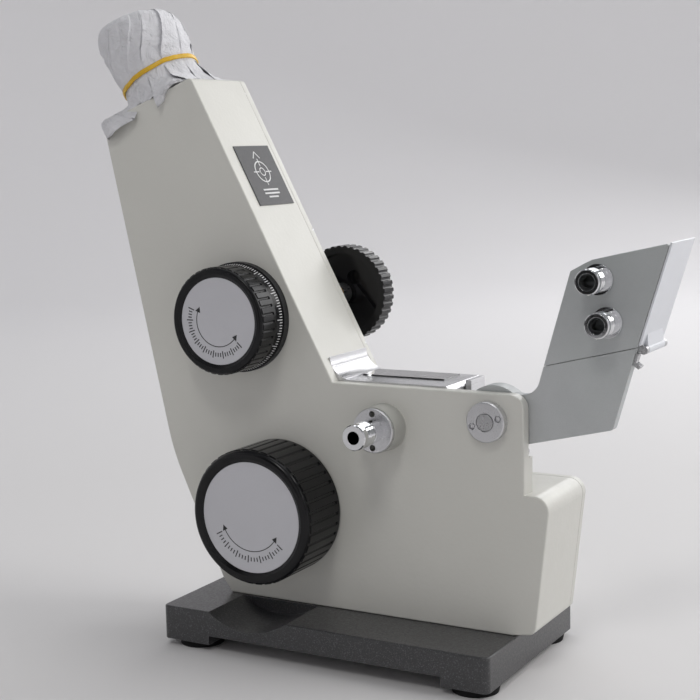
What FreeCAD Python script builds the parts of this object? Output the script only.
"""Bench Abbe refractometer, in millimetres.

X runs along the body towards the hinged prism, Y away from the knob side, Z up.
The origin is on the table, at the middle of the base.
"""
import FreeCAD
import Part
import math
import os

V = FreeCAD.Vector
ACROSS = V(0, 1, 0)

# ---- driving dimensions -------------------------------------------------
BODY_NEAR = -15.0            # outer face of the knob-side wall
BODY_FAR = 23.6              # outer face of the far cover
NEAR_WALL = 4.7
COVER = 4.0
WALL = 4.0
MID = 4.3                    # plane of the optical train
IN_NEAR = BODY_NEAR + NEAR_WALL
IN_FAR = BODY_FAR - COVER

BASE_LEFT = -73.0
BASE_RIGHT = 70.0
BASE_Y = 41.6
BASE_LOW = 2.8
BASE_TOP = 16.4

SHELF_Z = 107.2              # top of the body beside the prism
HOSE_BOSS = 9.0                # how far the hose bosses stand off the body
WELL_X = 40.0                # right end of the closed body, left wall of the mirror well
BRACKET_X = 73.0
BLOCK_Z = 70.2
TOP_FRONT = (-69.3, 226.5)   # upper end of the sloping front face
SHELF_LEFT = (-7.0, SHELF_Z)

HINGE = (59.15, 96.9)
HINGE_PIN_R = 3.2
STOP = (69.6, 85.0)            # pin that the open arm's lower edge rests on
STOP_R = 1.8
ARM_NEAR = -9.8
ARM_THICK = 4.3
BOSS_R = 12.6
SEAT_FAR = 16.6

KNOB_X, KNOB_Z = -31.2, 56.2
DISP_X, DISP_Z = -48.0, 131.4
WHEEL_X, WHEEL_Z = -28.2, 136.8
TILT = 27.5                  # lean of the eyepiece tube from upright
HOSE_X, HOSE_Z = 16.0, 91.65

MODULE = 0.6
PINION_TEETH = 10
SECTOR_TEETH = 83
CELL_TEETH = 40
BEVEL_TEETH = 20

# ---- derived places -----------------------------------------------------
AXIS = V(-math.sin(math.radians(TILT)), 0, math.cos(math.radians(TILT)))
SIDE = V(math.cos(math.radians(TILT)), 0, math.sin(math.radians(TILT)))
AXIS_ZERO = V(DISP_X, MID, DISP_Z)
GEAR_GAP = MODULE * (PINION_TEETH + SECTOR_TEETH) / 2
SECTOR_LEAN = math.radians(13.5)
MIRROR_X = KNOB_X + GEAR_GAP * math.sin(SECTOR_LEAN)
MIRROR_Z = KNOB_Z + GEAR_GAP * math.cos(SECTOR_LEAN)


# ---- shape helpers ------------------------------------------------------
def fuse(shapes):
    """One solid from several touching ones."""
    first = shapes[0]
    whole = first.fuse(shapes[1:]) if len(shapes) > 1 else first
    return whole.removeSplitter()


def group(shapes):
    return Part.makeCompound(shapes)


def box(x, y, z):
    """Box from three (low, high) pairs."""
    return Part.makeBox(x[1] - x[0], y[1] - y[0], z[1] - z[0], V(x[0], y[0], z[0]))


def rod(x, z, radius, low, high):
    """Cylinder along Y."""
    return Part.makeCylinder(radius, high - low, V(x, low, z), ACROSS)


def ring(x, z, outer, inner, low, high):
    return rod(x, z, outer, low, high).cut(rod(x, z, inner, low - 1, high + 1))


def cone(x, z, radius_low, radius_high, low, high):
    return Part.makeCone(radius_low, radius_high, high - low, V(x, low, z), ACROSS)


def rounded_wire(corners, y):
    """Closed outline at height y; each corner is (x, z, radius)."""
    count = len(corners)
    starts, ends, arcs = [], [], []
    for i, (x, z, radius) in enumerate(corners):
        here = V(x, y, z)
        if radius <= 0:
            starts.append(here)
            ends.append(here)
            arcs.append(None)
            continue
        before = V(corners[i - 1][0], y, corners[i - 1][1]) - here
        after = V(corners[(i + 1) % count][0], y, corners[(i + 1) % count][1]) - here
        before.normalize()
        after.normalize()
        half = before.getAngle(after) / 2
        reach = radius / math.tan(half)
        middle = (before + after).normalize()
        start = here + before * reach
        end = here + after * reach
        top = here + middle * (radius / math.sin(half) - radius)
        starts.append(start)
        ends.append(end)
        arcs.append(Part.Arc(start, top, end).toShape())
    edges = []
    for i in range(count):
        if arcs[i] is not None:
            edges.append(arcs[i])
        follow = starts[(i + 1) % count]
        if (follow - ends[i]).Length > 1e-6:
            edges.append(Part.LineSegment(ends[i], follow).toShape())
    return Part.Wire(edges)


def slab(corners, low, high):
    """Plate of a rounded outline in XZ, from Y low to high."""
    face = Part.Face(rounded_wire(corners, low))
    return face.extrude(V(0, high - low, 0))


def plain(points, low, high):
    return slab([(x, z, 0) for x, z in points], low, high)


def on_axis(s, across=0.0, along_y=0.0):
    """Point s up the eyepiece tube from the dispersion shaft."""
    return AXIS_ZERO + AXIS * s + SIDE * across + V(0, along_y, 0)


def tube_rod(radius, low, high):
    """Cylinder on the eyepiece tube's axis."""
    return Part.makeCylinder(radius, high - low, on_axis(low), AXIS)


def tube_ring(outer, inner, low, high):
    return tube_rod(outer, low, high).cut(tube_rod(inner, low - 1, high + 1))


def turned(profile):
    """Solid of revolution about the tube's axis; profile is (radius, s) points."""
    points = [on_axis(s, radius) for radius, s in profile]
    wire = Part.makePolygon(points + [points[0]])
    return Part.Face(wire).revolve(AXIS_ZERO, AXIS, 360)


def fillet_where(shape, radius, test):
    """Round the edges whose middle passes the test."""
    edges = [e for e in shape.Edges if test(e)]
    return shape.makeFillet(radius, edges)


def at_y(y):
    """Test for an edge that lies wholly in the plane Y = y."""
    return lambda e: abs(e.BoundBox.YMin - y) < 1e-4 and abs(e.BoundBox.YMax - y) < 1e-4


def fluted(x, z, radius, low, high, count, groove):
    """Knob rim with round grooves cut along it."""
    rim = rod(x, z, radius, low, high)
    cuts = []
    for i in range(count):
        angle = 2 * math.pi * i / count
        gx = x + (radius + groove * 0.35) * math.cos(angle)
        gz = z + (radius + groove * 0.35) * math.sin(angle)
        cuts.append(rod(gx, gz, groove, low - 1, high + 1))
    return rim.cut(cuts)


def gear(x, z, teeth, module, low, high, bore, phase=0.0):
    """Spur gear with straight-flanked teeth, thinned for running clearance."""
    pitch = module * teeth / 2
    outer = pitch + 0.85 * module
    root = pitch - 1.1 * module
    step = 2 * math.pi / teeth
    points = []
    for i in range(teeth):
        middle = phase + i * step
        for radius, offset in ((root, -0.34), (outer, -0.11), (outer, 0.11), (root, 0.34)):
            angle = middle + offset * step
            points.append((x + radius * math.cos(angle), z + radius * math.sin(angle)))
    body = plain(points, low, high)
    return body.cut(rod(x, z, bore, low - 1, high + 1))


# ---- base ---------------------------------------------------------------
SCALLOP = (-33.0, 41.6, 30.9)  # centre and radius of the finger room under the adjusting knob
UNDERCUT_Z = 6.5
PAD_LEFT_X = -51.0
PAD_RIGHT_X = 51.2
BASE_SCREWS = [(-42, -8), (-42, 16), (40, -8), (40, 16)]
FEET = [(x, y) for x in (-61.0, 60.6) for y in (-31.6, 31.6)]


def base():
    plate = box((BASE_LEFT, BASE_RIGHT), (-BASE_Y, BASE_Y), (BASE_LOW, BASE_TOP))
    corner = lambda e: e.BoundBox.ZLength > 10 and abs(e.BoundBox.XLength) < 1e-6
    plate = fillet_where(plate, 2.6, corner)
    plate = fillet_where(plate, 0.7, lambda e: e.BoundBox.ZMin > BASE_TOP - 1e-4)
    plate = plate.cut(box((PAD_LEFT_X, PAD_RIGHT_X), (-50, 50), (0, UNDERCUT_Z)))
    x, z, radius = SCALLOP
    plate = plate.cut(rod(x, z, radius, -BASE_Y - 1, BODY_NEAR - 1))
    for sx, sy in BASE_SCREWS:
        plate = plate.cut(Part.makeCylinder(2.7, 12, V(sx, sy, UNDERCUT_Z)))
        plate = plate.cut(Part.makeCylinder(4.7, 4.2, V(sx, sy, UNDERCUT_Z)))
    for fx, fy in FEET:
        plate = plate.cut(Part.makeCylinder(1.6, 7, V(fx, fy, BASE_LOW)))
        plate = plate.cut(Part.makeCylinder(6.0, 1.2, V(fx, fy, BASE_LOW)))
    return plate


def rubber_feet():
    feet = []
    for x, y in FEET:
        pad = Part.makeCone(8.7, 9.3, BASE_LOW, V(x, y, 0))
        plug = Part.makeCylinder(6.0, 1.2, V(x, y, BASE_LOW))
        bore = Part.makeCylinder(1.6, 9, V(x, y, 0))
        seat = Part.makeCylinder(3.2, 1.8, V(x, y, 0))
        feet.append(fuse([pad, plug]).cut([bore, seat]))
    return group(feet)


def bottom_screws():
    """Screws of the four feet, and the four that hold the body to the base."""
    screws = []
    for x, y in FEET:
        head = Part.makeCylinder(3.0, 1.3, V(x, y, 0.5))
        shank = Part.makeCylinder(1.5, 7.4, V(x, y, 1.8))
        slot = box((x - 3.5, x + 3.5), (y - 0.4, y + 0.4), (0.4, 1.0))
        screws.append(fuse([head, shank]).cut(slot))
    for x, y in BASE_SCREWS:
        head = Part.makeCylinder(4.5, 3.6, V(x, y, UNDERCUT_Z + 0.6))
        shank = Part.makeCylinder(2.4, 9.0, V(x, y, UNDERCUT_Z + 4.2))
        screws.append(fuse([head, shank]))
    return group(screws)


# ---- housing ------------------------------------------------------------
LEFT_SIDE = [(-57.4, BASE_TOP, 0), (-61.7, 22.4, 6), (-84.7, 73.5, 90), (-114.3, 209.3, 3.5)]
FRONT_SIDE = [(TOP_FRONT[0], TOP_FRONT[1], 2.0), (SHELF_LEFT[0], SHELF_LEFT[1], 0)]
BLOCK_SIDE = [(83.3, BLOCK_Z, 5.6), (77.2, 18.0, 3.0), (68.0, BASE_TOP, 0)]
BRACKET = [(BRACKET_X, SHELF_Z, 5.5), (BRACKET_X, BLOCK_Z, 0)]
WELL = [(WELL_X, SHELF_Z, 1.5), (WELL_X, BLOCK_Z, 0)]
NEAR_OUTLINE = LEFT_SIDE + FRONT_SIDE + BRACKET + BLOCK_SIDE
MAIN_OUTLINE = LEFT_SIDE + FRONT_SIDE + WELL + BLOCK_SIDE

RIB_TOP = 83.4
RIB_FAR = -6.7
SEAT_X = (-5.0, 39.5)
SEAT_Y = (IN_NEAR + 0.1, IN_FAR - 0.1)
SEAT_Z = (84.0, 107.8)
SEAT_LIP = 41.2                # end of the seat's overhang into the mirror well
PRISM_Y = (2.0, 16.4)
BUSH_R = 7.0
DISP_BUSH_R = 5.5
WHEEL_BUSH_R = 3.8
WHEEL_SHAFT_R = 2.2
TUBE_SEAT_R = 13.5
TUBE_FLANGE_R = 16.0
TUBE_FLANGE_S = 95.2
WINDOW_R = 8.0
WINDOW = (-48.4, 88.9)
THERMO_X = 32.0
COVER_SCREWS = [(-63.5, 31), (-86, 88), (-98, 140), (-110.3, 203), (-72.5, 220.5),
                (-38.5, 163), (-14.5, 117), (38, 76), (76, 64), (71, 22)]


def main_face(y):
    return Part.Face(rounded_wire([(x, z, 0) for x, z, radius in MAIN_OUTLINE], y))


def hose_boss(near):
    """Tapered boss round a hose connector, on either side of the body."""
    if near:
        boss = cone(HOSE_X, HOSE_Z, 8.8, 9.2, BODY_NEAR - HOSE_BOSS, BODY_NEAR + 0.5)
        return boss.cut(spanner_holes(BODY_NEAR - HOSE_BOSS - 1, BODY_NEAR - HOSE_BOSS + 2.5))
    boss = cone(HOSE_X, HOSE_Z, 9.2, 8.8, BODY_FAR - 0.5, BODY_FAR + HOSE_BOSS)
    return boss.cut(spanner_holes(BODY_FAR + HOSE_BOSS - 2.5, BODY_FAR + HOSE_BOSS + 1))


def spanner_holes(low, high):
    """Two round holes, above and below a hose connector."""
    return [rod(HOSE_X, HOSE_Z + side * 6.5, 1.2, low, high) for side in (-1, 1)]


def flange_pocket():
    """Room for the eyepiece sleeve's flange in the top of the body."""
    return tube_rod(TUBE_FLANGE_R + 0.1, TUBE_FLANGE_S - 0.05, 104)


def body_shell():
    """Knob-side wall, rim and bottom as one casting, open on the far side."""
    near = slab(NEAR_OUTLINE, BODY_NEAR, IN_NEAR)
    near = fillet_where(near, 0.6, at_y(BODY_NEAR))
    rim = slab(MAIN_OUTLINE, IN_NEAR, IN_FAR)
    hollow = main_face(IN_NEAR).makeOffset2D(-WALL, 2).extrude(V(0, IN_FAR - IN_NEAR, 0))
    rim = rim.cut(hollow)
    rib = box((WELL_X, BRACKET_X), (IN_NEAR, RIB_FAR), (BLOCK_Z - 1, RIB_TOP))
    shell = fuse([near, rim, rib, hose_boss(True)])
    cuts = [
        box((SEAT_X[0], WELL_X + 1), (IN_NEAR, IN_FAR), (SEAT_Z[0], 120)),
        rod(KNOB_X, KNOB_Z, BUSH_R, BODY_NEAR - 1, IN_NEAR + 1),
        rod(DISP_X, DISP_Z, DISP_BUSH_R, BODY_NEAR - 1, IN_NEAR + 1),
        rod(HINGE[0], HINGE[1], HINGE_PIN_R, BODY_NEAR - 1, IN_NEAR + 1),
        rod(STOP[0], STOP[1], STOP_R, IN_NEAR - 3, RIB_FAR + 1),
        rod(HOSE_X, HOSE_Z, 4.0, BODY_NEAR - 10, IN_NEAR + 1),
        rod(WHEEL_X, WHEEL_Z, WHEEL_BUSH_R + 0.1, IN_FAR - 3.6, IN_FAR + 1),
        tube_rod(TUBE_SEAT_R, 86, 104),
        flange_pocket(),
    ]
    for x, y in BASE_SCREWS:
        cuts.append(Part.makeCylinder(2.4, 5, V(x, y, BASE_TOP - 0.2)))
    for x, z in COVER_SCREWS:
        cuts.append(rod(x, z, 1.0, IN_FAR - 7, IN_FAR + 1))
    return shell.cut(cuts)


def far_cover():
    plate = slab(MAIN_OUTLINE, IN_FAR, BODY_FAR)
    plate = fillet_where(plate, 0.8, at_y(BODY_FAR))
    seam = lambda e: at_y(IN_FAR)(e) and e.BoundBox.ZMax > BASE_TOP + 0.5
    plate = plate.makeChamfer(0.45, [e for e in plate.Edges if seam(e)])
    plate = fuse([plate, hose_boss(False)])
    cuts = [
        rod(HOSE_X, HOSE_Z, 4.0, IN_FAR - 1, BODY_FAR + 10),
        rod(THERMO_X, HOSE_Z, 4.2, IN_FAR - 1, BODY_FAR + 1),
        rod(WHEEL_X, WHEEL_Z, WHEEL_BUSH_R, IN_FAR - 1, BODY_FAR + 1),
        rod(WINDOW[0], WINDOW[1], WINDOW_R, IN_FAR - 1, BODY_FAR + 1),
        flange_pocket(),
    ]
    for x, z in COVER_SCREWS:
        cuts.append(rod(x, z, 1.35, IN_FAR - 1, BODY_FAR + 1))
        cuts.append(rod(x, z, 2.15, BODY_FAR - 1.6, BODY_FAR + 1))
    return plate.cut(cuts)


def cover_screws():
    screws = []
    for x, z in COVER_SCREWS:
        head = rod(x, z, 2.0, BODY_FAR - 1.6, BODY_FAR - 0.2)
        shank = rod(x, z, 0.95, IN_FAR - 5, BODY_FAR - 1.6)
        slot = box((x - 2.2, x + 2.2), (BODY_FAR - 0.7, BODY_FAR), (z - 0.3, z + 0.3))
        screws.append(fuse([head, shank]).cut(slot))
    return group(screws)


def cove_strip():
    """Polished strip with a hollow curve where the front meets the prism."""
    y = IN_NEAR + 0.2
    corners = [(-5.05, 107.25), (-7.04, 107.36), (-11.5, 115.92), (-10.7, 116.4)]
    points = [V(px, y, pz) for px, pz in corners]
    end = V(-3.6, y, 108.2)
    edges = [Part.LineSegment(a, b).toShape() for a, b in zip(points, points[1:])]
    edges.append(Part.Arc(points[-1], V(-8.4, y, 110.7), end).toShape())
    tail = [end, V(-3.6, y, 107.85), V(-5.05, y, 107.85), points[0]]
    edges += [Part.LineSegment(a, b).toShape() for a, b in zip(tail, tail[1:])]
    return Part.Face(Part.Wire(edges)).extrude(V(0, IN_FAR - IN_NEAR - 0.4, 0))


def label_plate():
    """Small plate on the sloping front, with no lettering."""
    along = V(TOP_FRONT[0] - SHELF_LEFT[0], 0, TOP_FRONT[1] - SHELF_LEFT[1]).normalize()
    out = V(along.z, 0, -along.x)
    low = V(SHELF_LEFT[0], 0, SHELF_LEFT[1]) + along * 76.6
    high = low + along * 26.6
    corners = [low, high, high + out * 0.4, low + out * 0.4]
    return plain([(p.x, p.z) for p in corners], MID - 12.4, MID + 12.9)


# ---- refraction prism seat ----------------------------------------------
PRISM_TOP = 108.4
REFRACTING = [(-3.0, PRISM_TOP), (33.0, PRISM_TOP), (33.0, 101.5), (8.5, 88.5)]
DUCT_R = 2.0
LINK_R = 1.5
DUCT_DEPTH = 6.0


def duct(start, end, radius=DUCT_R):
    span = end - start
    return Part.makeCylinder(radius, span.Length, start, span)


def refraction_prism():
    return plain(REFRACTING, PRISM_Y[0], PRISM_Y[1])


def refraction_seat():
    """Block that holds the lower prism, with a water duct round it."""
    lip = box((SEAT_X[1] - 2, SEAT_LIP), SEAT_Y, (99.8, SEAT_Z[1]))
    block = fuse([box(SEAT_X, SEAT_Y, SEAT_Z), lip])
    end_edge = lambda e: e.BoundBox.XMin > SEAT_LIP - 0.01 and e.BoundBox.ZMin > SEAT_Z[1] - 0.01
    block = block.makeChamfer(1.6, [e for e in block.Edges if end_edge(e)])
    exit_side = [(-1.6, 106.0), (7.6, 90.0), (7.6, 83), (-6, 83), (-6, 103.0)]
    near_y = SEAT_Y[0] + DUCT_DEPTH
    far_y = SEAT_Y[1] - DUCT_DEPTH / 2
    cuts = [
        refraction_prism(),
        plain(exit_side, PRISM_Y[0] + 0.8, PRISM_Y[1] - 0.8),
        box((32, 42), (PRISM_Y[0] + 1.5, PRISM_Y[1] - 1.5), (102.2, 106.6)),
        duct(V(HOSE_X, SEAT_Y[0] - 1, HOSE_Z), V(HOSE_X, near_y + 2, HOSE_Z)),
        duct(V(HOSE_X, near_y, HOSE_Z), V(THERMO_X, near_y, HOSE_Z), LINK_R),
        duct(V(THERMO_X, near_y - 2, HOSE_Z), V(THERMO_X, SEAT_Y[1] + 1, HOSE_Z)),
        duct(V(HOSE_X, far_y, HOSE_Z), V(THERMO_X, far_y, HOSE_Z), LINK_R),
        duct(V(HOSE_X, far_y - 2, HOSE_Z), V(HOSE_X, SEAT_Y[1] + 1, HOSE_Z)),
    ]
    for x in (36.0, 37.2):
        cuts.append(rod(x, SEAT_Z[1] - 1.4, 0.9, SEAT_Y[0] - 1, SEAT_Y[0] + 3))
    return block.cut(cuts)


def barbed(x, z, root, tip, outer, bore):
    """Hose connector along Y: a plain root, three sloping barbs and a chamfered mouth."""
    sign = 1 if tip > root else -1
    length = abs(tip - root)

    def at(fraction):
        return root + sign * length * fraction

    profile = [(0.0, 0.94), (0.34, 0.94), (0.36, 0.78), (0.42, 0.78),
               (0.43, 0.99), (0.54, 0.86), (0.55, 0.76), (0.60, 0.76),
               (0.61, 0.99), (0.72, 0.86), (0.73, 0.74), (0.79, 0.74),
               (0.80, 1.0), (0.96, 1.0), (1.0, 0.92)]
    points = [V(x, at(0), z)]
    points += [V(x + outer * share, at(part), z) for part, share in profile]
    points += [V(x, at(1), z)]
    solid = Part.Face(Part.makePolygon(points + [points[0]])).revolve(V(x, 0, z), ACROSS, 360)
    low, high = min(root, tip) - 1, max(root, tip) + 1
    return solid.cut(rod(x, z, bore, low, high))


NIPPLE_TIP = 25.0
FLANGE = 1.4


def hose_nipples():
    near_root, far_root = BODY_NEAR - HOSE_BOSS - FLANGE, BODY_FAR + HOSE_BOSS + FLANGE
    near = barbed(HOSE_X, HOSE_Z, near_root, BODY_NEAR - NIPPLE_TIP, 4.9, 2.5)
    far = barbed(HOSE_X, HOSE_Z, far_root, BODY_FAR + NIPPLE_TIP, 4.9, 2.5)
    stem_near = ring(HOSE_X, HOSE_Z, 3.9, 2.5, near_root, IN_NEAR)
    stem_far = ring(HOSE_X, HOSE_Z, 3.9, 2.5, IN_FAR, far_root)
    return group([fuse([near, stem_near]), fuse([far, stem_far])])


def spanner_flanges():
    """Flanged lock rings behind the hose connectors, with two spanner holes each."""
    rings = []
    for low in (BODY_NEAR - HOSE_BOSS - FLANGE, BODY_FAR + HOSE_BOSS):
        flange = rod(HOSE_X, HOSE_Z, 8.5, low, low + FLANGE)
        front = low if low < 0 else low + FLANGE
        flange = fillet_where(flange, 0.5, at_y(front)).cut(rod(HOSE_X, HOSE_Z, 3.9, low - 1, low + 3))
        rings.append(flange.cut(spanner_holes(low - 1, low + FLANGE + 1)))
    return group(rings)


def thermometer_seat():
    """Threaded socket on the far side for the thermometer stem."""
    collar = ring(THERMO_X, HOSE_Z, 5.0, 3.0, BODY_FAR, BODY_FAR + 12)
    stem = ring(THERMO_X, HOSE_Z, 4.1, 3.0, IN_FAR, BODY_FAR)
    neck = ring(THERMO_X, HOSE_Z, 6.2, 3.0, BODY_FAR + 9, BODY_FAR + 12)
    return fuse([collar, stem, neck])


def scale_window():
    """Frosted glass that lights the scale."""
    return rod(WINDOW[0], WINDOW[1], WINDOW_R - 0.1, IN_FAR + 0.4, IN_FAR + 2.4)


def window_ring():
    outer = ring(WINDOW[0], WINDOW[1], 10.0, 6.8, BODY_FAR, BODY_FAR + 1.8)
    inner = ring(WINDOW[0], WINDOW[1], WINDOW_R - 0.1, 6.8, IN_FAR + 2.4, BODY_FAR)
    return fuse([outer, inner])


# ---- telescope ----------------------------------------------------------
HOUSING_R = 14.5
CELL_R = 12.6
SLEEVE_TOP = 114.0


def compensator_housing():
    """Barrel in which the two dispersion cells turn."""
    barrel = tube_ring(HOUSING_R, CELL_R + 0.05, -20, 21)
    lips = [tube_ring(CELL_R + 1, 9.0, -20, -18.2), tube_ring(CELL_R + 1, 9.0, 18.2, 21)]
    return fuse([barrel] + lips).cut(rod(DISP_X, DISP_Z, 7.2, MID - 17, MID - 8))


def telescope_tube():
    """Tube with the objective's seat in its lower end."""
    return fuse([tube_ring(11.5, 10.0, 21, 92), tube_ring(10.5, 8.0, 24, 33)])


def objective_lens():
    """Cemented pair, bulging on both sides."""
    crown = turned([(0, 25.6), (7.9, 27.2), (7.9, 28.4), (0, 29.4)])
    flint = turned([(0, 29.4), (7.9, 28.4), (7.9, 31.4), (0, 31.0)])
    return group([crown, flint])


def reticle():
    """Glass disc with the cross lines and scale field."""
    return tube_rod(9.9, 84, 85.6)


def eyepiece_sleeve():
    """Fixed sleeve in the top of the body that carries the eyepiece."""
    flange = tube_ring(TUBE_FLANGE_R, 10.0, TUBE_FLANGE_S, 98.4)
    seat = tube_ring(TUBE_SEAT_R - 0.1, 10.0, 92, TUBE_FLANGE_S)
    sleeve = tube_ring(14.6, 12.6, 98.4, SLEEVE_TOP)
    return fuse([flange, seat, sleeve])


def eyepiece_barrel():
    """Rotating barrel: a skirt inside the sleeve and a knurled ring above it."""
    stem = tube_ring(12.55, 10.6, 100.5, SLEEVE_TOP + 0.4)
    grip = tube_ring(16.2, 10.6, SLEEVE_TOP + 0.4, 122)
    cuts = []
    for i in range(36):
        angle = 2 * math.pi * i / 36
        foot = on_axis(SLEEVE_TOP + 1.6, 16.5 * math.cos(angle), 16.5 * math.sin(angle))
        cuts.append(Part.makeCylinder(0.7, 5.4, foot, AXIS))
    return fuse([stem, grip]).cut(cuts)


def eye_cup():
    """Soft cup above the knurled ring."""
    return turned([(10.6, 122), (16.2, 122), (15.7, 127.6), (14.4, 130.2), (11.6, 128.2), (10.6, 125)])


def eyepiece_lenses():
    field = turned([(0, 101.2), (10.5, 102.6), (10.5, 104.6), (0, 104.6)])
    eye = turned([(0, 115.6), (10.5, 116.6), (10.5, 119.0), (0, 120.6)])
    return group([field, eye])


def tissue_wrap():
    """Thin paper hood over the eyepiece, plain outer form."""
    outer = [(0, 132.9), (11.5, 132.5), (17.2, 129.4), (18.9, 122.4), (18.3, 115.0),
             (16.3, 110.0), (16.3, 107.2), (17.2, 103.0), (18.6, 99.6)]
    paper = 0.7
    inner = [(max(radius - paper, 0), s if s < 132 else s - paper) for radius, s in reversed(outer)]
    return turned(outer + inner)


def rubber_band():
    return tube_ring(17.3, 16.35, 107.6, 109.4)


def reading_tube():
    """Side tube that carries the image of the scale up to the reticle."""
    foot = on_axis(-30, -19)
    tube = Part.makeCylinder(4.2, 88, foot, AXIS)
    return tube.cut(Part.makeCylinder(3.4, 90, foot - AXIS, AXIS))


def reading_optics():
    """Lens in the side tube, and a right-angle prism at each end of it."""
    prisms = [Part.makeCylinder(3.4, 2.2, on_axis(10, -19), AXIS)]
    for s, side in ((-38, 1), (58.5, -1)):
        centre = on_axis(s, -19)
        a = centre - SIDE * 3.2 * side
        b = centre + SIDE * 3.2 * side
        c = centre + SIDE * 3.2 + AXIS * 6.4
        face = Part.Face(Part.makePolygon([a, b, c, a]))
        solid = face.extrude(V(0, 6.4, 0))
        solid.translate(V(0, -3.2, 0))
        prisms.append(solid)
    return group(prisms)


# ---- knobs --------------------------------------------------------------
KNOB_R = 26.9
KNOB_FRONT = -39.7
KNOB_BACK = -15.9
KNOB_RIBS = 40
KNOB_SHAFT_R = 4.0
DISP_R = 21.2
DISP_FRONT = -33.1
DISP_BACK = -22.7
DISP_FLUTES = 42
DISP_SHAFT_R = 3.0
RUNNING = 0.05
DISC_SUNK = 0.8                # how far the discs lie behind the knobs' front rims
DISC_THICK = 0.6
SHAFT_START = 2.3
BACK_RIM = 1.4                 # plain ring behind the knobs' ribs


def rimmed_knob(x, z, radius, front, back, ribs, groove, disc_r, hub_r, lip):
    """Knob with a rounded front rim, ribs that stand proud of it, a plain back rim and a hollow back."""
    rim = rod(x, z, radius - groove * 0.5, front, front + lip)
    rim = fillet_where(rim, lip * 0.6, at_y(front))
    skirt = fluted(x, z, radius, front + lip * 0.7, back - BACK_RIM, ribs, groove)
    body = fuse([rim, skirt, rod(x, z, radius, back - BACK_RIM, back)])
    hollow = ring(x, z, radius - 3.4, hub_r, front + lip + 2.4, back + 1)
    bevel = cone(x, z, disc_r + 1.3, disc_r, front, front + DISC_SUNK)
    recess = rod(x, z, disc_r, front + DISC_SUNK, front + DISC_SUNK + DISC_THICK)
    return body.cut([fuse([bevel, recess]), hollow])


def knob_disc(x, z, radius, front):
    return rod(x, z, radius, front + DISC_SUNK + 0.1, front + DISC_SUNK + DISC_THICK)


def adjust_knob():
    knob = rimmed_knob(KNOB_X, KNOB_Z, KNOB_R, KNOB_FRONT, KNOB_BACK, KNOB_RIBS, 0.75, 22.0, 9.0, 3.0)
    return knob.cut(rod(KNOB_X, KNOB_Z, KNOB_SHAFT_R, KNOB_FRONT + SHAFT_START, 0))


def adjust_disc():
    return knob_disc(KNOB_X, KNOB_Z, 21.9, KNOB_FRONT)


def adjust_shaft():
    """Shaft with the pinion for the sector cut on its inner end."""
    shaft = rod(KNOB_X, KNOB_Z, KNOB_SHAFT_R, KNOB_FRONT + SHAFT_START, -8.6)
    collar = rod(KNOB_X, KNOB_Z, 2.2, -8.6, -7.9)
    tip = rod(KNOB_X, KNOB_Z, 1.5, -7.9, -4.0)
    phase = math.pi / 2 - SECTOR_LEAN
    pinion = gear(KNOB_X, KNOB_Z, PINION_TEETH, MODULE, -7.8, -5.0, 1.4, phase)
    return fuse([shaft, collar, tip, pinion])


def shaft_bushes():
    """Bronze bushes of the two knobs, the swinging mirror and the lock wheel."""
    adjust = ring(KNOB_X, KNOB_Z, BUSH_R, KNOB_SHAFT_R + RUNNING, BODY_NEAR - 0.4, IN_NEAR + 1.4)
    disp = ring(DISP_X, DISP_Z, DISP_BUSH_R, DISP_SHAFT_R + RUNNING, BODY_NEAR, IN_NEAR + 1.0)
    near = ring(MIRROR_X, MIRROR_Z, 5.0, 2.5 + RUNNING, IN_NEAR, IN_NEAR + 2.3)
    far = ring(MIRROR_X, MIRROR_Z, 5.0, 2.5 + RUNNING, CHEEK_FAR + 2.2, IN_FAR)
    bore = WHEEL_SHAFT_R + RUNNING
    flange = ring(WHEEL_X, WHEEL_Z, 4.9, bore, BODY_FAR, BODY_FAR + 0.7)
    sleeve = ring(WHEEL_X, WHEEL_Z, WHEEL_BUSH_R, bore, IN_FAR, BODY_FAR)
    return group([adjust, disp, near, far, fuse([flange, sleeve])])


def dispersion_knob():
    knob = rimmed_knob(DISP_X, DISP_Z, DISP_R, DISP_FRONT, DISP_BACK, DISP_FLUTES, 0.6, 17.2, 8.0, 1.8)
    return knob.cut(rod(DISP_X, DISP_Z, DISP_SHAFT_R, DISP_FRONT + SHAFT_START, 0))


def dispersion_disc():
    return knob_disc(DISP_X, DISP_Z, 17.1, DISP_FRONT)


def dispersion_scale():
    """Scale ring behind the knob, on the same shaft, widening toward the body."""
    band = cone(DISP_X, DISP_Z, 20.2, 21.5, DISP_BACK + 0.7, -18.6)
    bore = rod(DISP_X, DISP_Z, DISP_SHAFT_R, DISP_BACK, -18)
    return band.cut([bore, ring(DISP_X, DISP_Z, 17.5, 8.0, -20.4, -18)])


def dispersion_collar():
    """Fixed ring on the body with the index line for the scale."""
    collar = ring(DISP_X, DISP_Z, 22.0, 9.0, -18.2, BODY_NEAR)
    notch = box((DISP_X - 0.4, DISP_X + 0.4), (-18.3, -17.4), (DISP_Z + 17, DISP_Z + 23))
    return collar.cut(notch)


def dispersion_shaft():
    """Shaft with the small face pinion on its inner end."""
    shaft = rod(DISP_X, DISP_Z, DISP_SHAFT_R, DISP_FRONT + SHAFT_START, -8.4)
    tip = rod(DISP_X, DISP_Z, 1.8, -8.4, MID - 9.8)
    return fuse([shaft, tip, bevel_pinion()])


# ---- dispersion cells ---------------------------------------------------
BEVEL_R = 5.5
CROWN_R = 11.0
FACE_HALF = 0.8
CROWN_FLOOR = 6.25


def bevel_pinion():
    module = 2 * BEVEL_R / BEVEL_TEETH
    phase = math.radians(TILT) + math.pi / BEVEL_TEETH
    low = MID - CROWN_R - FACE_HALF
    return gear(DISP_X, DISP_Z, BEVEL_TEETH, module, low, low + 2 * FACE_HALF, 1.6, phase + math.pi / 2)


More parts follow.
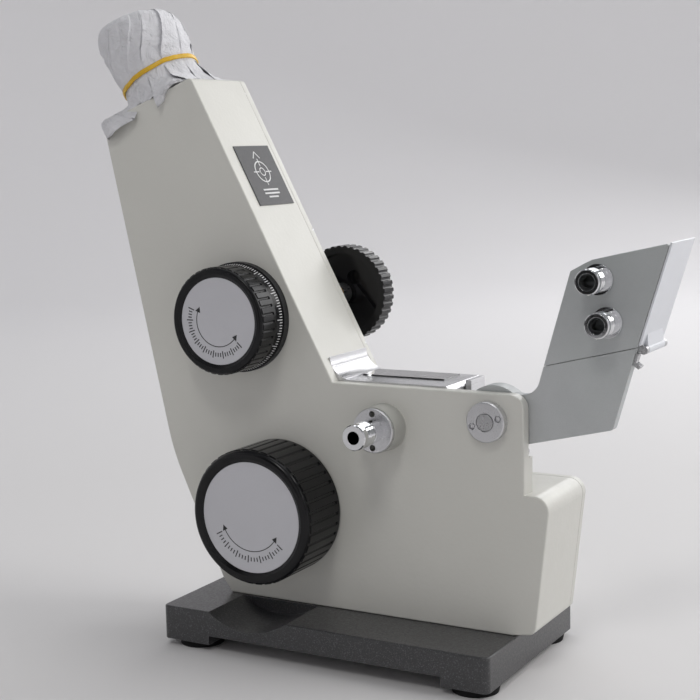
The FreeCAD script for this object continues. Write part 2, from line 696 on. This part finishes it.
def dispersion_cell(upper):
    """Ring with face teeth that carries one direct-vision prism."""
    sign = 1 if upper else -1
    edges = sorted([sign * CROWN_FLOOR, sign * 17.8])
    shell = tube_ring(CELL_R, 8.0, edges[0], edges[1])
    tip = sign * 5.2
    low, high = sorted([tip, sign * (CROWN_FLOOR + 0.5)])
    teeth = []
    for i in range(CELL_TEETH):
        angle = 360.0 * i / CELL_TEETH
        tooth = Part.makeBox(0.42, 2 * FACE_HALF, high - low)
        tooth.translate(V(-0.21, -CROWN_R - FACE_HALF, low))
        tooth.rotate(V(0, 0, 0), V(0, 0, 1), angle)
        teeth.append(tooth)
    crown = group(teeth)
    crown.rotate(V(0, 0, 0), V(0, 1, 0), -TILT)
    crown.translate(AXIS_ZERO)
    return fuse([shell] + crown.Solids)


def dispersion_prism(upper):
    """Three cemented wedges in one cell."""
    sign = 1 if upper else -1
    low, high = sorted([sign * 7.0, sign * 16.4])
    core = tube_rod(7.95, low, high)
    third = (high - low) / 3
    wedges = []
    lean = 1.6
    bounds = [low - 9, low + third, low + 2 * third, high + 9]
    tilts = [0, lean, -lean, 0]
    for i in range(3):
        a, b = bounds[i], bounds[i + 1]
        corners = [on_axis(a - tilts[i], -9), on_axis(a + tilts[i], 9),
                   on_axis(b + tilts[i + 1], 9), on_axis(b - tilts[i + 1], -9)]
        block = plain([(p.x, p.z) for p in corners], MID - 9, MID + 9)
        wedges.append(core.common(block))
    return group([w.Solids[0] for w in wedges])


# ---- swinging mirror and scale ------------------------------------------
MIRROR_LEAN = 17.0
SCALE_DEG = 167.0
SCALE_IN, SCALE_OUT = 20.5, 28.5
CHEEK_NEAR, CHEEK_FAR = -5.2, 14.0


def tilted_plate(x_half, low, high, y0, y1):
    """Plate about the mirror shaft, leaning with the mirror."""
    plate = box((-x_half, x_half), (y0, y1), (low, high))
    plate.rotate(V(0, 0, 0), ACROSS, MIRROR_LEAN)
    plate.translate(V(MIRROR_X, 0, MIRROR_Z))
    return plate


def mirror_cradle():
    """Two cheeks and a floor round the mirror, on two stub shafts."""
    cheeks = [rod(MIRROR_X, MIRROR_Z, 6.0, y, y + 2) for y in (CHEEK_NEAR, CHEEK_FAR - 2)]
    floor = tilted_plate(9.0, -4.4, -2.6, CHEEK_NEAR, CHEEK_FAR)
    near_stub = rod(MIRROR_X, MIRROR_Z, 2.5, IN_NEAR + 0.4, CHEEK_NEAR)
    far_stub = rod(MIRROR_X, MIRROR_Z, 2.5, CHEEK_FAR, 19.0)
    return fuse(cheeks + [floor, near_stub, far_stub])


def swing_mirror():
    return tilted_plate(8.6, -2.6, 0.0, CHEEK_NEAR + 2, CHEEK_FAR - 2)


def arc_band(inner, outer, centre_deg, half_deg, low, high):
    """Part of a ring about the mirror shaft."""
    band = ring(MIRROR_X, MIRROR_Z, outer, inner, low, high)
    reach = outer * 2
    points = [(MIRROR_X, MIRROR_Z)]
    for deg in (centre_deg - half_deg, centre_deg, centre_deg + half_deg):
        angle = math.radians(deg)
        points.append((MIRROR_X + reach * math.cos(angle), MIRROR_Z + reach * math.sin(angle)))
    return band.common(plain(points, low, high))


def sector_gear():
    """Toothed sector on the mirror shaft, driven by the knob's pinion."""
    down = -90.0 - math.degrees(SECTOR_LEAN)
    step = 2 * math.pi / SECTOR_TEETH
    wheel = gear(MIRROR_X, MIRROR_Z, SECTOR_TEETH, MODULE, -7.5, -5.3, 2.5, math.radians(down) + step / 2)
    rim = wheel.common(arc_band(19.5, 26.5, down, 24, -8, -5))
    hub = ring(MIRROR_X, MIRROR_Z, 5.5, 2.5, -7.5, -5.3)
    spokes = []
    for side in (-1, 0, 1):
        angle = math.radians(down + 19 * side)
        start = V(MIRROR_X + 4 * math.cos(angle), -7.5, MIRROR_Z + 4 * math.sin(angle))
        spoke = Part.makeBox(17.5, 2.2, 2.6)
        spoke.translate(V(0, 0, -1.3))
        spoke.rotate(V(0, 0, 0), ACROSS, -math.degrees(angle))
        spoke.translate(start)
        spokes.append(spoke)
    return fuse([rim, hub] + spokes)


def scale_arm():
    """Cranked arm that carries the curved scale glass past the mirror."""
    low, high = CHEEK_FAR + 0.05, CHEEK_FAR + 2.0
    holder = arc_band(SCALE_IN - 3, SCALE_IN, SCALE_DEG, 19, 9.6, 11.6)
    hub = ring(MIRROR_X, MIRROR_Z, 6.0, 2.55, low, high)
    arm = box((5.0, SCALE_IN - 1), (low, high), (-1.8, 1.8))
    step = box((SCALE_IN - 3.5, SCALE_IN - 1), (9.6, high), (-1.8, 1.8))
    arm = fuse([arm, step])
    arm.rotate(V(0, 0, 0), ACROSS, -SCALE_DEG)
    arm.translate(V(MIRROR_X, 0, MIRROR_Z))
    return fuse([holder, hub, arm])


def scale_glass():
    return arc_band(SCALE_IN, SCALE_OUT, SCALE_DEG, 19, 9.9, 11.3)


# ---- hinged incidence prism ---------------------------------------------
SEAM_LEFT = (78.8, 117.8)
SEAM_RIGHT = (113.7, 126.2)
SEAM_GAP = 0.25
SEAT_TIP = (125.1, 162.8)
SEAT_HEEL = (89.0, 152.4)
ARM_FAR = ARM_NEAR + ARM_THICK
BOSS_FAR = -2.8
INNER = V(SEAT_HEEL[0] - SEAM_LEFT[0], 0, SEAT_HEEL[1] - SEAM_LEFT[1]).normalize()
INNER_IN = V(INNER.z, 0, -INNER.x)
OUTER = V(SEAT_TIP[0] - SEAM_RIGHT[0], 0, SEAT_TIP[1] - SEAM_RIGHT[1]).normalize()
OUTER_OUT = V(OUTER.z, 0, -OUTER.x)
HOSE_PAIR = [(99.6, 149.8), (103.1, 134.7)]
CATCH = (109.1, 156.4)


def from_seam(u, depth):
    """Point u along the inner face from the seam, depth into the seat."""
    p = V(SEAM_LEFT[0], 0, SEAM_LEFT[1]) + INNER * u + INNER_IN * depth
    return (p.x, p.z)


def from_lip(u, out):
    """Point u along the outer face from the seam, out from it."""
    p = V(SEAM_RIGHT[0], 0, SEAM_RIGHT[1]) + OUTER * u + OUTER_OUT * out
    return (p.x, p.z)


TONGUE_U = (-1.0, 9.0)
TONGUE_DEPTH = (5.0, 28.0)
TONGUE_NEAR = -8.3


def arm_tongue():
    a, b = TONGUE_U
    c, d = TONGUE_DEPTH
    corners = [from_seam(a, c), from_seam(b, c), from_seam(b, d), from_seam(a + 6, d)]
    return plain(corners, TONGUE_NEAR, ARM_FAR)


def arm_screw_places():
    return [from_seam(4.6, depth) for depth in (9.5, 23.5)]


def hinge_arm():
    """Single-sided arm from the hinge to the incidence seat."""
    boss = rod(HINGE[0], HINGE[1], BOSS_R, ARM_NEAR, BOSS_FAR)
    boss = fillet_where(boss, 0.6, at_y(BOSS_FAR))
    seam_left = from_seam(-SEAM_GAP, 0)
    outline = [(61.9, 85.83, 0), (104.9, 96.1, 1.5), (*from_lip(-SEAM_GAP, 0), 0), (*seam_left, 0),
               (75.2, 105.5, 7.0), (60.0, 108.5, 0)]
    plate = slab(outline, ARM_NEAR, ARM_FAR)
    arm = fuse([boss, plate, arm_tongue()])
    cuts = [rod(HINGE[0], HINGE[1], HINGE_PIN_R + RUNNING, ARM_NEAR - 1, 0)]
    for x, z in arm_screw_places():
        cuts.append(rod(x, z, 1.2, -9, 0))
    return arm.cut(cuts)


def incidence_prism():
    """Upper prism, ground face a little proud of the seat's inner face."""
    corners = [from_seam(3.0, -1.2), from_seam(33.5, -1.2), from_seam(27.0, 13.0), from_seam(9.5, 13.0)]
    return plain(corners, PRISM_Y[0], PRISM_Y[1])


def incidence_seat():
    """Block that clamps the upper prism, with hose holes and a light window."""
    outline = [(SEAM_LEFT[0], SEAM_LEFT[1], 0), (SEAM_RIGHT[0], SEAM_RIGHT[1], 0),
               (SEAT_TIP[0], SEAT_TIP[1], 0.8), (97.3, 156.7, 1.0), (94.3, 155.3, 1.0),
               (SEAT_HEEL[0], SEAT_HEEL[1], 0.8)]
    block = slab(outline, ARM_NEAR, SEAT_FAR)
    window = [from_seam(9.5, 12.9), from_seam(27.0, 12.9), from_seam(27.0, 34), from_seam(9.5, 34)]
    cuts = [incidence_prism(), plain(window, PRISM_Y[0] + 1, PRISM_Y[1] - 1), arm_tongue()]
    for x, z in HOSE_PAIR:
        cuts.append(rod(x, z, 3.6, ARM_NEAR - 1, ARM_NEAR + 5))
        cuts.append(rod(x, z, 2.4, ARM_NEAR, ARM_NEAR + 8.5))
    cuts.append(duct(V(HOSE_PAIR[0][0], ARM_NEAR + 8, HOSE_PAIR[0][1]),
                     V(HOSE_PAIR[1][0], ARM_NEAR + 8, HOSE_PAIR[1][1])))
    for x, z in arm_screw_places():
        cuts.append(rod(x, z, 1.2, -9, 1))
    cuts.append(rod(CATCH[0], CATCH[1], 1.5, SEAT_FAR - 5, SEAT_FAR + 1))
    for u in (2.2, 35.6):
        x, z = from_seam(u, 4.0)
        cuts.append(rod(x, z, 1.0, SEAT_FAR - 3, SEAT_FAR + 1))
    return block.cut(cuts)


def seat_fasteners():
    """Two screws through the arm's tongue, and the catch pin for the lock."""
    screws = [rod(x, z, 1.15, TONGUE_NEAR, 0.6) for x, z in arm_screw_places()]
    catch = rod(CATCH[0], CATCH[1], 1.5, SEAT_FAR - 5, 27.4)
    return group(screws + [catch])


def incidence_nipples():
    """Two hose connectors on the swinging seat."""
    both = []
    for x, z in HOSE_PAIR:
        base_ring = rod(x, z, 5.6, ARM_NEAR - 1.6, ARM_NEAR)
        barb = barbed(x, z, ARM_NEAR - 1.6, ARM_NEAR - 12.1, 4.65, 3.0)
        stem = rod(x, z, 3.5, ARM_NEAR, ARM_NEAR + 4.8)
        both.append(fuse([base_ring, barb, stem]).cut(rod(x, z, 3.0, -30, 0)))
    return group(both)


CAP_FACE = -18.5


def hinge_pins():
    """Hinge pin, and the stop pin under the open arm's lower edge."""
    hinge = rod(HINGE[0], HINGE[1], HINGE_PIN_R, CAP_FACE - 0.3, -0.8)
    hinge = fillet_where(hinge, 0.3, at_y(CAP_FACE - 0.3))
    stop = rod(STOP[0], STOP[1], STOP_R, IN_NEAR - 3, ARM_FAR)
    return group([hinge, stop])


def hinge_cap():
    """Lock ring on the pin, with two sunk screw heads."""
    cap = rod(HINGE[0], HINGE[1], 7.6, CAP_FACE, BODY_NEAR)
    cap = fillet_where(cap, 0.6, at_y(CAP_FACE))
    cuts = [rod(HINGE[0], HINGE[1], HINGE_PIN_R, -20, -10),
            rod(HINGE[0], HINGE[1], HINGE_PIN_R + 0.3, -20, CAP_FACE + 0.6)]
    for side in (-1, 1):
        x = HINGE[0] + side * 5.4 * math.cos(math.radians(18))
        z = HINGE[1] + side * 5.4 * math.sin(math.radians(18))
        cuts.append(ring(x, z, 1.3, 0.75, CAP_FACE - 1, CAP_FACE + 1.4))
        cuts.append(rod(x, z, 0.8, CAP_FACE - 1, CAP_FACE + 0.5))
    return cap.cut(cuts)


def hinge_washers():
    """Thin washer under the arm's boss, and the retaining collar over it."""
    under = ring(HINGE[0], HINGE[1], 10.0, HINGE_PIN_R, IN_NEAR, ARM_NEAR - 0.08)
    disc = ring(HINGE[0], HINGE[1], 7.0, HINGE_PIN_R, BOSS_FAR + 0.08, BOSS_FAR + 1.2)
    nut = ring(HINGE[0], HINGE[1], 5.4, HINGE_PIN_R, BOSS_FAR + 1.2, -0.9)
    return group([under, fuse([disc, nut])])


# ---- shade plate and reflecting mirror ----------------------------------
SHADE_AXIS = from_lip(-0.6, 2.0)
PLATE_IN, PLATE_OUT = 0.2, 0.9
FLAP_AXIS = (42.4, 97.4)
FLAP_Y = (3.0, 15.4)
MIRROR_Y = (4.0, 14.4)


def shade_hinge():
    """Two ears on the seat, the shade's pin, and the hooked spring that stops the open plate."""
    pin = rod(SHADE_AXIS[0], SHADE_AXIS[1], 0.7, ARM_NEAR + 1.4, SEAT_FAR - 1.4)
    ears = [pin]
    for low in (ARM_NEAR + 2.0, SEAT_FAR - 4.0):
        ear = ring(SHADE_AXIS[0], SHADE_AXIS[1], 1.5, 0.7, low, low + 2)
        foot = [from_lip(-2.0, 0.03), from_lip(0.6, 0.03), from_lip(0.4, 1.4), from_lip(-1.6, 1.4)]
        heel = plain(foot, low, low + 2).cut(rod(SHADE_AXIS[0], SHADE_AXIS[1], 0.7, low - 1, low + 3))
        ears.append(fuse([ear, heel]))
    hook = [from_lip(-2.3, 0.12), from_lip(-6.6, 0.2), from_lip(-7.4, 2.6), from_lip(-6.2, 3.2),
            from_lip(-5.4, 1.1), from_lip(-2.3, 1.1)]
    ears.append(plain(hook, ARM_NEAR + 0.6, ARM_FAR - 0.4))
    return group(ears)


def shade_plate():
    """Hinged plate over the light window."""
    low, high = ARM_NEAR + 4.4, SEAT_FAR - 4.4
    barrel = ring(SHADE_AXIS[0], SHADE_AXIS[1], 1.5, 0.7 + RUNNING, low, high)
    strap = [from_lip(-0.4, 1.0), from_lip(5.0, PLATE_IN), from_lip(5.0, PLATE_OUT), from_lip(-0.4, 3.0)]
    web = plain(strap, low, high)
    web = web.cut(rod(SHADE_AXIS[0], SHADE_AXIS[1], 0.7 + RUNNING, low - 1, high + 1))
    outline = [from_lip(1.0, PLATE_IN), from_lip(38.8, PLATE_IN), from_lip(38.8, PLATE_OUT),
               from_lip(1.0, PLATE_OUT)]
    sheet = plain(outline, ARM_NEAR, SEAT_FAR)
    return fuse([barrel, web, sheet])


def mirror_flap():
    """Frame of the small mirror that lights the lower prism from the well."""
    x, z = FLAP_AXIS
    barrel = ring(x, z, 1.7, 0.8 + RUNNING, *FLAP_Y)
    frame = box((x - 0.8, x + 1.6), FLAP_Y, (z + 1.2, z + 11))
    frame = frame.cut(box((x - 1, x + 0.4), MIRROR_Y, (z + 2.4, z + 9.8)))
    return fuse([barrel, frame]).cut(rod(x, z, 0.8 + RUNNING, 0, 20))


def flap_mirror():
    x, z = FLAP_AXIS
    return box((x - 0.6, x + 0.4), MIRROR_Y, (z + 2.4, z + 9.8))


def flap_bracket():
    """Pin and two ears on the well's wall."""
    x, z = FLAP_AXIS
    pin = rod(x, z, 0.8, 0.6, 17.8)
    ears = []
    for low in (0.8, 15.8):
        ears.append(rod(x, z, 1.7, low, low + 1.8))
        ears.append(box((SEAT_X[1], x), (low, low + 1.8), (z - 1.5, z + 0.8)))
    return fuse([pin] + ears)


# ---- prism lock wheel ---------------------------------------------------
WHEEL_R = 20.0
WHEEL_IN = 31.6
WHEEL_OUT = 39.6
HOOK_DEG = 150.0
CRANK = (4.2, 6.7)           # off-centre socket on the wheel's inner face


def lock_wheel():
    """Fluted handwheel, recessed on both faces."""
    wheel = fluted(WHEEL_X, WHEEL_Z, WHEEL_R, WHEEL_IN, WHEEL_OUT, 40, 0.95)
    inner = ring(WHEEL_X, WHEEL_Z, 16.6, 4.4, WHEEL_IN - 1, WHEEL_IN + 2.0)
    outer = rod(WHEEL_X, WHEEL_Z, 16.0, WHEEL_OUT - 0.8, WHEEL_OUT + 1)
    socket = rod(WHEEL_X + CRANK[0], WHEEL_Z + CRANK[1], 3.0, WHEEL_IN - 1, WHEEL_IN + 5.0)
    groove = box((0, 19.0), (WHEEL_IN + 1, WHEEL_IN + 3.4), (-0.9, 0.9))
    groove.rotate(V(0, 0, 0), ACROSS, 49.5)
    groove.translate(V(WHEEL_X + CRANK[0], 0, WHEEL_Z + CRANK[1]))
    groove = groove.common(rod(WHEEL_X, WHEEL_Z, 16.6, WHEEL_IN, WHEEL_OUT))
    shaft = rod(WHEEL_X, WHEEL_Z, WHEEL_SHAFT_R, WHEEL_IN - 1, WHEEL_OUT - 1.9)
    return wheel.cut([inner, outer, socket, groove, shaft])


def lock_shaft():
    """Shaft of the lock wheel, with the hook on it."""
    shaft = rod(WHEEL_X, WHEEL_Z, WHEEL_SHAFT_R, 17.9, WHEEL_OUT - 1.9)
    clip = rod(WHEEL_X, WHEEL_Z, 3.5, IN_FAR - 2.6, IN_FAR - 0.5)
    return fuse([shaft, clip, lock_hook()])


def lock_hook():
    """Finger on the shaft that swings over the catch pin of the closed prism."""
    low, high = BODY_FAR + 1.1, BODY_FAR + 4.2
    hub = rod(WHEEL_X, WHEEL_Z, 4.4, low, WHEEL_IN)
    finger = box((0, 20.0), (low, high), (-1.5, 1.5))
    finger.rotate(V(0, 0, 0), ACROSS, -HOOK_DEG)
    finger.translate(V(WHEEL_X, 0, WHEEL_Z))
    return fuse([hub, finger])


# ---- write every sub-part -----------------------------------------------
NODES = {
    "base": base,
    "rubber_feet": rubber_feet,
    "bottom_screws": bottom_screws,
    "body_shell": body_shell,
    "far_cover": far_cover,
    "cover_screws": cover_screws,
    "cove_strip": cove_strip,
    "label_plate": label_plate,
    "refraction_seat": refraction_seat,
    "refraction_prism": refraction_prism,
    "hose_nipples": hose_nipples,
    "spanner_flanges": spanner_flanges,
    "thermometer_seat": thermometer_seat,
    "scale_window": scale_window,
    "window_ring": window_ring,
    "compensator_housing": compensator_housing,
    "telescope_tube": telescope_tube,
    "objective_lens": objective_lens,
    "reticle": reticle,
    "eyepiece_sleeve": eyepiece_sleeve,
    "eyepiece_barrel": eyepiece_barrel,
    "eye_cup": eye_cup,
    "eyepiece_lenses": eyepiece_lenses,
    "tissue_wrap": tissue_wrap,
    "rubber_band": rubber_band,
    "reading_tube": reading_tube,
    "reading_optics": reading_optics,
    "shaft_bushes": shaft_bushes,
    "adjust_knob": adjust_knob,
    "adjust_disc": adjust_disc,
    "adjust_shaft": adjust_shaft,
    "dispersion_knob": dispersion_knob,
    "dispersion_disc": dispersion_disc,
    "dispersion_scale": dispersion_scale,
    "dispersion_collar": dispersion_collar,
    "dispersion_shaft": dispersion_shaft,
    "lower_cell": lambda: dispersion_cell(False),
    "upper_cell": lambda: dispersion_cell(True),
    "lower_amici_prism": lambda: dispersion_prism(False),
    "upper_amici_prism": lambda: dispersion_prism(True),
    "mirror_cradle": mirror_cradle,
    "swing_mirror": swing_mirror,
    "sector_gear": sector_gear,
    "scale_arm": scale_arm,
    "scale_glass": scale_glass,
    "hinge_arm": hinge_arm,
    "incidence_seat": incidence_seat,
    "incidence_prism": incidence_prism,
    "incidence_nipples": incidence_nipples,
    "seat_fasteners": seat_fasteners,
    "hinge_pins": hinge_pins,
    "hinge_cap": hinge_cap,
    "hinge_washers": hinge_washers,
    "shade_hinge": shade_hinge,
    "shade_plate": shade_plate,
    "mirror_flap": mirror_flap,
    "flap_mirror": flap_mirror,
    "flap_bracket": flap_bracket,
    "lock_wheel": lock_wheel,
    "lock_shaft": lock_shaft,
}


def main():
    os.makedirs("parts", exist_ok=True)
    for name, make in NODES.items():
        make().exportStep("parts/" + name + ".step")


main()
